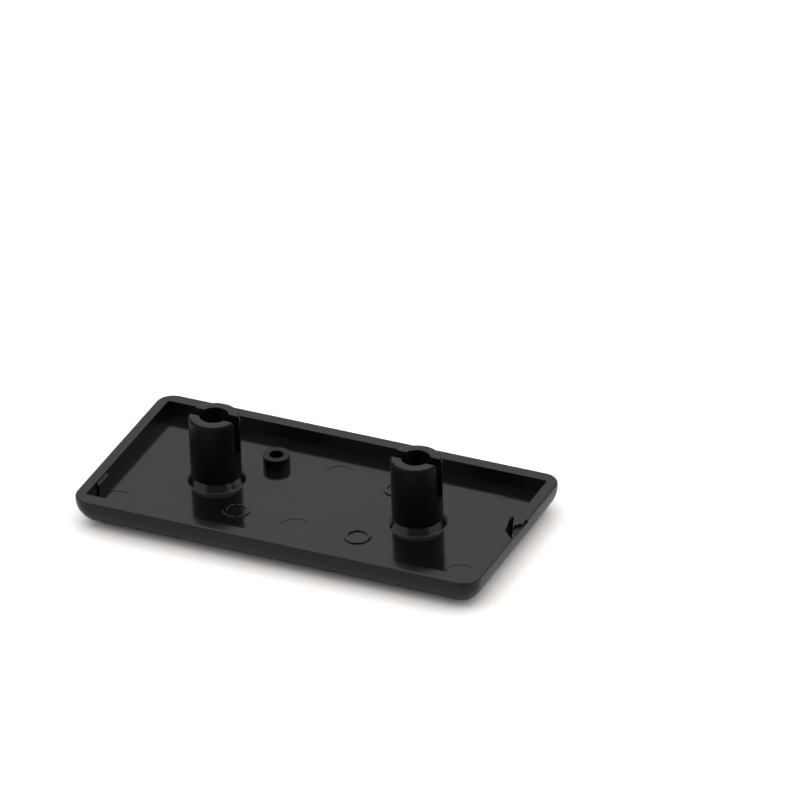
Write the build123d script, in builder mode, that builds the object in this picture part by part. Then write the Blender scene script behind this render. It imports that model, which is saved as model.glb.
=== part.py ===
"""End cap for a 30 x 60 mm slotted aluminium profile, moulded in one piece.

The cap lies on its show face: that face is z = 0, the rim that meets the profile's cut end is at
z = TRAY_HEIGHT, and the two pegs that press into the profile's core bores stand up from the floor.
X runs along the long side, towards the end wall with the gate mark. All sizes in millimetres.
"""
from build123d import *
import math
import os

# Tray: the flat shell that covers the profile's end
LENGTH = 60.0
WIDTH = 30.0
TRAY_HEIGHT = 4.5
CORNER_RADIUS = 2.5
FACE_EDGE_RADIUS = 3.8
OUTER_DRAFT = 2.5
RIM_EDGE_RADIUS = 0.3

# Cavity: the shallow hollow inside the rim
CAVITY_DEPTH = 2.0
END_WALL = 1.6
SIDE_WALL = 1.9
CAVITY_DRAFT = 3.0
CAVITY_CORNER_RADIUS = 0.2
FLOOR = TRAY_HEIGHT - CAVITY_DEPTH

# Pegs: hollow, split along X so that they spring into the core bores
PEG_PITCH = 30.0
PEG_DIAMETER = 7.0
PEG_LENGTH = 8.1
PEG_TOP = TRAY_HEIGHT + PEG_LENGTH
PEG_TIP_RADIUS = 0.4
PEG_SEAM = 52.0
PEG_BORE = 4.05
PEG_BORE_DEPTH = 8.8
PEG_BORE_DRAFT = 0.5
SLOT_WIDTH = 1.75
SLOT_DEPTH = 5.7
COLLAR_DIAMETER = 8.1
COLLAR_HEIGHT = 1.0
COLLAR_FOOT_RADIUS = 0.2

# Ejector sleeves: four on a rectangle, one of them a taller boss, the others low rings
SLEEVE_SPACING_X = 18.0
SLEEVE_SPACING_Y = 13.0
SLEEVE_DIAMETER = 3.75
BOSS_BORE = 2.0
BOSS_HEIGHT = 1.5
RING_BORE = 2.6
RING_HEIGHT = 0.2
RING_CHAMFER = 0.08

# Ejector pin marks: round prints sunk a hair into the floor
PIN_MARK_DIAMETER = 4.0
PIN_MARK_DEPTH = 0.05
CORNER_MARK_SPACING_X = 51.0
CORNER_MARK_SPACING_Y = 19.4
MIDDLE_MARK_SPACING_Y = 14.6

# Gate mark on the +X end wall: a wedge of a lug inside, the groove that the cut-off gate left, and
# a notch torn through the outer edge
GATE_NEAR = -2.5
GATE_FAR = 3.1
GATE_LUG_REACH = 1.1
GATE_LUG_NEAR = -1.6
GROOVE_WIDTH = 1.05
GROOVE_DEPTH = 1.3
GROOVE_RUN_OUT = 0.6
NOTCH_DEPTH = 0.35
NOTCH_NEAR = -1.1
NOTCH_FAR = 1.0
NOTCH_TEAR = 0.65

# Pip on the inside of the -X end wall
PIP_Y = -8.1
PIP_LENGTH = 3.0
PIP_REACH = 0.3
PIP_DROP = 0.3

cavity_length = LENGTH - 2 * END_WALL
cavity_width = WIDTH - 2 * SIDE_WALL
end_wall_inside = cavity_length / 2
wall_middle = end_wall_inside + END_WALL / 2
outer_edge = LENGTH / 2 - RIM_EDGE_RADIUS
outside = LENGTH / 2 + END_WALL
peg_centres = [-PEG_PITCH / 2, PEG_PITCH / 2]
seam_direction = Vector(1, 0, 0).rotate(Axis.Z, PEG_SEAM)
ring_top = FLOOR + RING_HEIGHT
sleeve_corner = (SLEEVE_SPACING_X / 2, SLEEVE_SPACING_Y / 2)
boss_place = (-sleeve_corner[0], sleeve_corner[1])
ring_places = [
    (-sleeve_corner[0], -sleeve_corner[1]),
    (sleeve_corner[0], -sleeve_corner[1]),
    (sleeve_corner[0], sleeve_corner[1]),
]


def narrowing(height, draft):
    """How far a face that leans by draft degrees comes in over a height."""
    return height * math.tan(math.radians(draft))


def circles_of(diameter):
    """The cap's circular edges of a given diameter."""
    return cap.edges().filter_by(
        lambda edge: edge.geom_type == GeomType.CIRCLE and math.isclose(edge.radius, diameter / 2)
    )


def peg_outline():
    """Half section of a collar and peg, in (radius, height), closed along the axis."""
    peg_radius = PEG_DIAMETER / 2
    foot_radius = COLLAR_DIAMETER / 2
    root = FLOOR - CAVITY_DEPTH / 2
    Polyline(
        (0, PEG_TOP),
        (0, root),
        (foot_radius, root),
        (foot_radius, FLOOR),
        (peg_radius, FLOOR + COLLAR_HEIGHT),
        (peg_radius, PEG_TOP),
        close=True,
    )


def bore_outline():
    """Half section of a peg's blind bore, which narrows towards its bottom."""
    mouth_radius = PEG_BORE / 2
    bottom = PEG_TOP - PEG_BORE_DEPTH
    bottom_radius = mouth_radius - narrowing(PEG_BORE_DEPTH, PEG_BORE_DRAFT)
    Polyline((0, PEG_TOP), (0, bottom), (bottom_radius, bottom), (mouth_radius, PEG_TOP), (0, PEG_TOP))


with BuildPart() as cap:
    # Tray, drawn at the rim and narrowed towards the show face
    with BuildSketch(Plane.XY.offset(TRAY_HEIGHT)):
        RectangleRounded(LENGTH, WIDTH, CORNER_RADIUS)
    extrude(amount=-TRAY_HEIGHT, taper=OUTER_DRAFT)
    show_face = cap.faces().sort_by(Axis.Z)[0]
    fillet(show_face.edges(), FACE_EDGE_RADIUS)
    rim = cap.faces().sort_by(Axis.Z)[-1]
    fillet(rim.edges(), RIM_EDGE_RADIUS)

    # Cavity with near-sharp corners
    with BuildSketch(Plane.XY.offset(TRAY_HEIGHT)):
        RectangleRounded(cavity_length, cavity_width, CAVITY_CORNER_RADIUS)
    extrude(amount=-CAVITY_DEPTH, taper=CAVITY_DRAFT, mode=Mode.SUBTRACT)

    # Ejector pin marks in the floor
    with BuildSketch(Plane.XY.offset(FLOOR)):
        with GridLocations(CORNER_MARK_SPACING_X, CORNER_MARK_SPACING_Y, 2, 2):
            Circle(PIN_MARK_DIAMETER / 2)
        with GridLocations(1, MIDDLE_MARK_SPACING_Y, 1, 2):
            Circle(PIN_MARK_DIAMETER / 2)
    extrude(amount=-PIN_MARK_DEPTH, mode=Mode.SUBTRACT)

    # Ejector sleeves: the boss and the three low rings
    with BuildSketch(Plane.XY.offset(FLOOR)):
        with Locations(boss_place):
            Circle(SLEEVE_DIAMETER / 2)
            Circle(BOSS_BORE / 2, mode=Mode.SUBTRACT)
    extrude(amount=BOSS_HEIGHT)
    with BuildSketch(Plane.XY.offset(FLOOR)):
        with Locations(*ring_places):
            Circle(SLEEVE_DIAMETER / 2)
            Circle(RING_BORE / 2, mode=Mode.SUBTRACT)
    extrude(amount=RING_HEIGHT)
    ring_circles = circles_of(SLEEVE_DIAMETER) + circles_of(RING_BORE)
    chamfer([edge for edge in ring_circles if math.isclose(edge.center().Z, ring_top)], RING_CHAMFER)

    # Pegs, each with its collar, blind bore and slot; the seam of the round walls stays clear of the slot
    for x in peg_centres:
        through_axis = Plane(origin=(x, 0, 0), x_dir=seam_direction, z_dir=seam_direction.rotate(Axis.Z, -90))
        peg_axis = Axis((x, 0, 0), (0, 0, 1))
        with BuildSketch(through_axis) as peg_section:
            with BuildLine():
                peg_outline()
            make_face()
            tip = peg_section.vertices().group_by(Axis.Y)[-1].sort_by(Axis.X)[-1]
            fillet(tip, PEG_TIP_RADIUS)
        revolve(axis=peg_axis)
        with BuildSketch(through_axis):
            with BuildLine():
                bore_outline()
            make_face()
        revolve(axis=peg_axis, mode=Mode.SUBTRACT)
        with BuildSketch(Plane.XY.offset(PEG_TOP)):
            with Locations((x, 0)):
                Rectangle(COLLAR_DIAMETER, SLOT_WIDTH)
        extrude(amount=-SLOT_DEPTH, mode=Mode.SUBTRACT)

    # Rounded foot of each collar
    fillet(circles_of(COLLAR_DIAMETER), COLLAR_FOOT_RADIUS)

    # Gate mark: the lug thickens the wall inwards, towards the far end of the mark
    with BuildSketch(Plane.XY.offset(FLOOR)):
        with BuildLine():
            Polyline(
                (wall_middle, GATE_LUG_NEAR),
                (end_wall_inside, GATE_LUG_NEAR),
                (end_wall_inside - GATE_LUG_REACH, GATE_FAR),
                (wall_middle, GATE_FAR),
                close=True,
            )
        make_face()
    extrude(amount=CAVITY_DEPTH)

    # The groove, as a wheel with a V edge would cut it: deepest midway, running out at both ends
    groove_near = Vector(LENGTH / 2 - GROOVE_RUN_OUT, GATE_NEAR, TRAY_HEIGHT)
    groove_far = Vector(end_wall_inside - GATE_LUG_REACH, GATE_FAR, TRAY_HEIGHT)
    half_chord = (groove_far - groove_near) / 2
    wheel_radius = (half_chord.length**2 + GROOVE_DEPTH**2) / (2 * GROOVE_DEPTH)
    wheel_centre = groove_near + half_chord + Vector(0, 0, wheel_radius - GROOVE_DEPTH)
    wheel_axis = half_chord.cross(Vector(0, 0, 1))
    with BuildSketch(Plane(origin=wheel_centre, x_dir=wheel_axis, z_dir=half_chord)):
        with BuildLine():
            Polyline(
                (-GROOVE_WIDTH / 2, wheel_radius - GROOVE_DEPTH),
                (GROOVE_WIDTH / 2, wheel_radius - GROOVE_DEPTH),
                (GROOVE_WIDTH / 2, wheel_radius),
                close=True,
            )
        make_face()
    revolve(axis=Axis(wheel_centre, wheel_axis), mode=Mode.SUBTRACT)

    # The notch across the outer edge, torn along its far side
    with BuildSketch(Plane.XY.offset(TRAY_HEIGHT)):
        with BuildLine():
            Polyline(
                (outside, NOTCH_NEAR),
                (wall_middle, NOTCH_NEAR),
                (wall_middle - END_WALL / 4, NOTCH_FAR),
                (wall_middle + END_WALL / 8, NOTCH_FAR + NOTCH_TEAR),
                (wall_middle + END_WALL / 4, NOTCH_FAR + NOTCH_TEAR),
                (outer_edge, NOTCH_FAR + 2 * NOTCH_TEAR),
                (outer_edge, NOTCH_FAR + 3 * NOTCH_TEAR),
                (outside, NOTCH_FAR + 3 * NOTCH_TEAR),
                close=True,
            )
        make_face()
    extrude(amount=-NOTCH_DEPTH, mode=Mode.SUBTRACT)

    # Pip: a small wedge with a sloping top
    with BuildSketch(Plane.XZ.offset(-(PIP_Y + PIP_LENGTH / 2))):
        pip_top = TRAY_HEIGHT - PIP_DROP
        with BuildLine():
            Polyline(
                (-wall_middle, pip_top),
                (-end_wall_inside, pip_top),
                (-end_wall_inside + PIP_REACH, pip_top - PIP_REACH),
                (-end_wall_inside + PIP_REACH, FLOOR),
                (-wall_middle, FLOOR),
                close=True,
            )
        make_face()
    extrude(amount=PIP_LENGTH)

cap.part.label = "end_cap"
os.makedirs("parts", exist_ok=True)
export_step(cap.part, "parts/end_cap.step")
print("end_cap", cap.part.is_valid, len(cap.part.solids()), cap.part.volume, cap.part.bounding_box())
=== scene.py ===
"""Looks of the profile end cap: moulded black nylon, a white table, studio light and the camera."""
import math

import bpy
from mathutils import Matrix, Vector


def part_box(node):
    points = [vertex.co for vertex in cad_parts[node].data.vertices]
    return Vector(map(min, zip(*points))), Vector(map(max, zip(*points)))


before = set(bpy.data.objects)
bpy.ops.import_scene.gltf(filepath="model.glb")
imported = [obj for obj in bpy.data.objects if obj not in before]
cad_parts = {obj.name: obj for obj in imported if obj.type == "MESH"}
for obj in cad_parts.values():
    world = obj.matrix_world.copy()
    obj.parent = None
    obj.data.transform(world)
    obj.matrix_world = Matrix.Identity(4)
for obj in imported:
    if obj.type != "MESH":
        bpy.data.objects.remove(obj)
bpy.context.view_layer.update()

MM = 0.001

# The cap's own levels and outlines, read from the frame
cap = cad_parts["end_cap"]
low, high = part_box("end_cap")
RIM_TOP = 4.5 * MM
CAVITY_FLOOR = 2.5 * MM
END_WALL = 1.6 * MM
SIDE_WALL = 1.9 * MM
cavity_half = Vector((high.x - END_WALL, high.y - SIDE_WALL))

# Camera, as it stands to the cap: turned towards +X, looking down, a long lens from far away
CAMERA_AZIMUTH = 25.22
CAMERA_ELEVATION = 31.25
CAMERA_ROLL = -1.905
CAMERA_DISTANCE = 1.3576
CAMERA_LENS = 451.2
AIM_RIGHT = 11.32 * MM
AIM_UP = 11.83 * MM

# Black nylon: roughness of each zone and how far slow clouding raises it
POLISHED_ROUGHNESS = 0.10
SATIN_ROUGHNESS = 0.12
INSIDE_CLOUDING = 0.06
GRAIN_ROUGHNESS = 0.28
GRAIN_CLOUDING = 0.08
CAVITY_WALL_ROUGHNESS = 0.3
SHANK_ROUGHNESS = 0.32
TIP_ROUGHNESS = 0.75

# Noise scales in cycles per metre, and the heights of the relief in metres
CLOUD_SCALE = 160.0
COARSE_GRAIN_SCALE = 3500.0
FINE_GRAIN_SCALE = 12000.0
WAVE_SCALE = 220.0
BLOTCH_SCALE = 500.0
GRAIN_HEIGHT = 10e-6
WAVE_HEIGHT = 4e-6
BLOTCH_HEIGHT = 1.5e-6

# Shares of the head-on reflection that each zone keeps, tuned to the photo's tones
SHANK_GLOSS = 0.2
# The foot's lower share is painted shade: it darkens the grained walls towards the bottom, where
# the table beside them lies in the cap's shadow
FOOT_PAINTED_SHADE_GLOSS = 0.34
GRAIN_GLOSS = 0.5
REFLECTION_TINT = (1.0, 0.93, 0.98)
NYLON_COLOUR = (0.0055, 0.0042, 0.0048)

# Studio. The camera sees the table above white, as in the photo's over-exposed background
TABLE_SIZE = 6.0
TABLE_WHITE = (1.0, 1.0, 1.0)
TABLE_SEEN = (1.37, 1.345, 1.325)
ROOM_COLOUR = (1.0, 0.985, 0.98)
TENT_WALL = 0.8
TENT_TOP = 1.6
TENT_OPENING = 0.2
OVERHEAD_EDGE, OVERHEAD_CORE = 50.0, 25.0
OPENING_ELEVATION = 22.0
OPENING_EDGE, OPENING_CORE = 44.0, 36.0


def add_node(tree, kind, **sockets):
    """A new shader node, with its input sockets set by name (underscores for spaces)."""
    node = tree.nodes.new(kind)
    for name, value in sockets.items():
        node.inputs[name.replace("_", " ")].default_value = value
    return node


def math_node(tree, operation, first, second=None):
    """A Math node; each operand is a number or another node's output."""
    node = tree.nodes.new("ShaderNodeMath")
    node.operation = operation
    for socket, operand in zip(node.inputs, (first, second)):
        if operand is None:
            continue
        if isinstance(operand, (int, float)):
            socket.default_value = operand
        else:
            tree.links.new(operand, socket)
    return node.outputs[0]


def ramp_between(tree, value, start, end, at_start=0.0, at_end=1.0):
    """A smooth step of a value from start to end."""
    node = tree.nodes.new("ShaderNodeMapRange")
    node.interpolation_type = "SMOOTHSTEP"
    node.inputs["From Min"].default_value = start
    node.inputs["From Max"].default_value = end
    node.inputs["To Min"].default_value = at_start
    node.inputs["To Max"].default_value = at_end
    tree.links.new(value, node.inputs["Value"])
    return node.outputs["Result"]


def noise(tree, coordinates, scale, detail=2.0, roughness=0.5):
    """Noise of a given scale, in cycles per metre."""
    node = add_node(tree, "ShaderNodeTexNoise", Scale=scale, Detail=detail, Roughness=roughness)
    tree.links.new(coordinates, node.inputs["Vector"])
    return node.outputs["Fac"]


def mix_value(tree, factor, at_zero, at_one):
    """Blends two numbers or outputs by a factor."""
    node = tree.nodes.new("ShaderNodeMix")
    node.data_type = "FLOAT"
    tree.links.new(factor, node.inputs[0])
    for socket, value in ((node.inputs[2], at_zero), (node.inputs[3], at_one)):
        if isinstance(value, (int, float)):
            socket.default_value = value
        else:
            tree.links.new(value, socket)
    return node.outputs[0]


def mix_colour(tree, factor, at_zero, at_one):
    """Blends two colours by a factor."""
    node = tree.nodes.new("ShaderNodeMix")
    node.data_type = "RGBA"
    tree.links.new(factor, node.inputs[0])
    node.inputs[6].default_value = (*at_zero, 1.0)
    node.inputs[7].default_value = (*at_one, 1.0)
    return node.outputs[2]


def clouded(tree, clouds, roughness, rise):
    """A roughness that slow clouding raises a little."""
    return math_node(tree, "ADD", roughness, math_node(tree, "MULTIPLY", clouds, rise))


def bump(tree, height, distance, normal=None):
    """A bump of a height texture that spans a distance in metres."""
    node = add_node(tree, "ShaderNodeBump", Strength=1.0, Distance=distance)
    tree.links.new(height, node.inputs["Height"])
    if normal is not None:
        tree.links.new(normal, node.inputs["Normal"])
    return node.outputs["Normal"]


def new_material(name):
    """An empty node material and its output node."""
    material = bpy.data.materials.new(name)
    material.use_nodes = True
    material.node_tree.nodes.clear()
    output = material.node_tree.nodes.new("ShaderNodeOutputMaterial")
    return material, output


def black_nylon():
    """Moulded black nylon: polished inside by the mould's core, spark-eroded grain outside."""
    material, output = new_material("black_nylon")
    tree = material.node_tree
    place = tree.nodes.new("ShaderNodeTexCoord").outputs["Object"]
    split = tree.nodes.new("ShaderNodeSeparateXYZ")
    tree.links.new(place, split.inputs[0])
    x, y, z = split.outputs

    # Zones, by how far a point lies outside the cavity's outline and by its height
    past_end = math_node(tree, "SUBTRACT", math_node(tree, "ABSOLUTE", x), cavity_half.x)
    past_side = math_node(tree, "SUBTRACT", math_node(tree, "ABSOLUTE", y), cavity_half.y)
    outside = math_node(tree, "MAXIMUM", past_end, past_side)
    skin = math_node(
        tree,
        "MULTIPLY",
        ramp_between(tree, outside, 0.3 * MM, 1.2 * MM),
        ramp_between(tree, z, RIM_TOP - 0.3 * MM, RIM_TOP - 0.1 * MM, 1.0, 0.0),
    )
    below = ramp_between(tree, z, CAVITY_FLOOR - 0.6 * MM, CAVITY_FLOOR - 0.3 * MM, 1.0, 0.0)
    grained = math_node(tree, "MAXIMUM", skin, below)
    floor_zone = ramp_between(tree, z, CAVITY_FLOOR + 0.1 * MM, CAVITY_FLOOR + 0.3 * MM, 1.0, 0.0)
    shank = math_node(
        tree,
        "MULTIPLY",
        ramp_between(tree, z, CAVITY_FLOOR + 1.0 * MM, CAVITY_FLOOR + 1.1 * MM),
        ramp_between(tree, z, high.z - 0.04 * MM, high.z - 0.012 * MM, 1.0, 0.0),
    )
    inside = ramp_between(tree, outside, -0.6 * MM, -0.5 * MM, 1.0, 0.0)
    shank = math_node(tree, "MULTIPLY", shank, inside)
    wall = math_node(
        tree,
        "MULTIPLY",
        ramp_between(tree, outside, -0.2 * MM, -0.15 * MM),
        ramp_between(tree, z, RIM_TOP - 0.15 * MM, RIM_TOP - 0.05 * MM, 1.0, 0.0),
    )

    # Roughness: polished floor, satin rim and collars, duller shanks, matt grain outside. The tips
    # are roughest, which keeps their far edges from shining white
    clouds = noise(tree, place, CLOUD_SCALE, 3.0)
    satin = clouded(tree, clouds, SATIN_ROUGHNESS, INSIDE_CLOUDING)
    polished = clouded(tree, clouds, POLISHED_ROUGHNESS, INSIDE_CLOUDING)
    matt = clouded(tree, clouds, GRAIN_ROUGHNESS, GRAIN_CLOUDING)
    smooth = mix_value(tree, floor_zone, satin, polished)
    inner_roughness = mix_value(tree, wall, smooth, CAVITY_WALL_ROUGHNESS)
    tip = ramp_between(tree, z, high.z - 0.5 * MM, high.z - 0.2 * MM)
    peg_roughness = mix_value(tree, tip, SHANK_ROUGHNESS, TIP_ROUGHNESS)
    inner_roughness = mix_value(tree, shank, inner_roughness, peg_roughness)
    roughness = mix_value(tree, grained, inner_roughness, matt)

    # Relief: grain outside, a faint waviness all over and a finer mottling of the floor
    coarse = noise(tree, place, COARSE_GRAIN_SCALE, 3.0, 0.6)
    fine = noise(tree, place, FINE_GRAIN_SCALE, 2.0, 0.6)
    grain = math_node(tree, "ADD", coarse, math_node(tree, "MULTIPLY", fine, 0.5))
    grain_height = math_node(tree, "MULTIPLY", grain, grained)
    waves = noise(tree, place, WAVE_SCALE, 2.0)
    wavy = bump(tree, waves, WAVE_HEIGHT)
    blotches = noise(tree, place, BLOTCH_SCALE, 2.0)
    mottling = math_node(tree, "MULTIPLY", blotches, floor_zone)
    wavy = bump(tree, mottling, BLOTCH_HEIGHT, normal=wavy)
    relief = bump(tree, grain_height, GRAIN_HEIGHT, normal=wavy)

    # How much each zone reflects head-on; grazing reflections stay as they are
    inner_gloss = mix_value(tree, shank, 1.0, SHANK_GLOSS)
    # Towards the foot the grained walls keep less of their reflection: painted shade, darker
    # towards the bottom where the cap shades the table beside them
    grained_gloss_with_painted_foot_shade = ramp_between(tree, z, 0.2 * MM, 2.0 * MM, FOOT_PAINTED_SHADE_GLOSS, GRAIN_GLOSS)
    gloss = mix_value(tree, grained, inner_gloss, grained_gloss_with_painted_foot_shade)
    tint = mix_colour(tree, gloss, (0.0, 0.0, 0.0), REFLECTION_TINT)

    shader = add_node(tree, "ShaderNodeBsdfPrincipled", Specular_IOR_Level=0.5, IOR=1.45)
    tree.links.new(tint, shader.inputs["Specular Tint"])
    shader.inputs["Base Color"].default_value = (*NYLON_COLOUR, 1.0)
    tree.links.new(roughness, shader.inputs["Roughness"])
    tree.links.new(relief, shader.inputs["Normal"])
    tree.links.new(shader.outputs[0], output.inputs["Surface"])
    return material


def table_white():
    """The matt white table top, brighter to the camera alone than to the light that it bounces."""
    material, output = new_material("table_white")
    tree = material.node_tree
    seen = tree.nodes.new("ShaderNodeLightPath").outputs["Is Camera Ray"]
    colour = mix_colour(tree, seen, TABLE_WHITE, TABLE_SEEN)
    shader = tree.nodes.new("ShaderNodeBsdfDiffuse")
    tree.links.new(colour, shader.inputs["Color"])
    tree.links.new(shader.outputs[0], output.inputs["Surface"])
    return material


def dress_cap():
    """Gives the CAD node its nylon, through the object's own material slot."""
    material = black_nylon()
    for slot in cap.material_slots:
        slot.link = "OBJECT"
        slot.material = material


def lay_table():
    """A large plain table under the cap."""
    mesh = bpy.data.meshes.new("table")
    half = TABLE_SIZE / 2
    corners = [(-half, -half, 0), (half, -half, 0), (half, half, 0), (-half, half, 0)]
    mesh.from_pydata(corners, [], [(0, 1, 2, 3)])
    table = bpy.data.objects.new("table", mesh)
    table.location.z = low.z
    table.data.materials.append(table_white())
    bpy.context.scene.collection.objects.link(table)


def direction(azimuth, elevation):
    """Unit vector from the cap to a place; azimuth 0 is in front (-Y), 90 to the right (+X)."""
    a, e = math.radians(azimuth), math.radians(elevation)
    return Vector((math.sin(a) * math.cos(e), -math.cos(a) * math.cos(e), math.sin(e)))


def facing_cone(tree, towards, centre, edge, core):
    """A smooth mask of directions round a centre: 0 past the edge angle, 1 within the core one."""
    facing = tree.nodes.new("ShaderNodeVectorMath")
    facing.operation = "DOT_PRODUCT"
    facing.inputs[1].default_value = centre
    tree.links.new(towards, facing.inputs[0])
    return ramp_between(
        tree, facing.outputs["Value"], math.cos(math.radians(edge)), math.cos(math.radians(core))
    )


def light_studio():
    """A white tent, brightest overhead and dark where the camera stands."""
    world = bpy.data.worlds.new("studio")
    bpy.context.scene.world = world
    world.use_nodes = True
    tree = world.node_tree
    tree.nodes.clear()
    towards = tree.nodes.new("ShaderNodeTexCoord").outputs["Generated"]
    zenith = Vector((0.0, 0.0, 1.0))
    overhead = facing_cone(tree, towards, zenith, OVERHEAD_EDGE, OVERHEAD_CORE)
    opening = direction(CAMERA_AZIMUTH, OPENING_ELEVATION)
    camera_side = facing_cone(tree, towards, opening, OPENING_EDGE, OPENING_CORE)
    tent = mix_value(tree, overhead, TENT_WALL, TENT_TOP)
    level = mix_value(tree, camera_side, tent, TENT_OPENING)
    room = add_node(tree, "ShaderNodeBackground", Strength=1.0)
    room.inputs["Color"].default_value = (*ROOM_COLOUR, 1.0)
    tree.links.new(level, room.inputs["Strength"])
    plain = add_node(tree, "ShaderNodeBackground", Strength=1.0)
    plain.inputs["Color"].default_value = (1.0, 1.0, 1.0, 1.0)
    seen = tree.nodes.new("ShaderNodeLightPath").outputs["Is Camera Ray"]
    mix = tree.nodes.new("ShaderNodeMixShader")
    tree.links.new(seen, mix.inputs[0])
    tree.links.new(room.outputs[0], mix.inputs[1])
    tree.links.new(plain.outputs[0], mix.inputs[2])
    output = tree.nodes.new("ShaderNodeOutputWorld")
    tree.links.new(mix.outputs[0], output.inputs["Surface"])


def set_camera():
    """The camera, aimed a little above and right of the cap."""
    a, e, r = (math.radians(v) for v in (CAMERA_AZIMUTH, CAMERA_ELEVATION, CAMERA_ROLL))
    back = direction(CAMERA_AZIMUTH, CAMERA_ELEVATION)
    level_right = Vector((math.cos(a), math.sin(a), 0.0))
    level_up = back.cross(level_right)
    right = math.cos(r) * level_right + math.sin(r) * level_up
    up = back.cross(right)
    rim_centre = Vector(((low.x + high.x) / 2, (low.y + high.y) / 2, RIM_TOP))
    data = bpy.data.cameras.new("camera")
    data.lens = CAMERA_LENS
    data.sensor_width = 36.0
    data.clip_end = 20.0
    camera = bpy.data.objects.new("camera", data)
    turn = Matrix((right, up, back)).transposed()
    place = rim_centre + right * AIM_RIGHT + up * AIM_UP + back * CAMERA_DISTANCE
    camera.matrix_world = Matrix.Translation(place) @ turn.to_4x4()
    bpy.context.scene.collection.objects.link(camera)
    bpy.context.scene.camera = camera


dress_cap()
lay_table()
light_studio()
set_camera()
bpy.context.scene.view_settings.view_transform = "Standard"
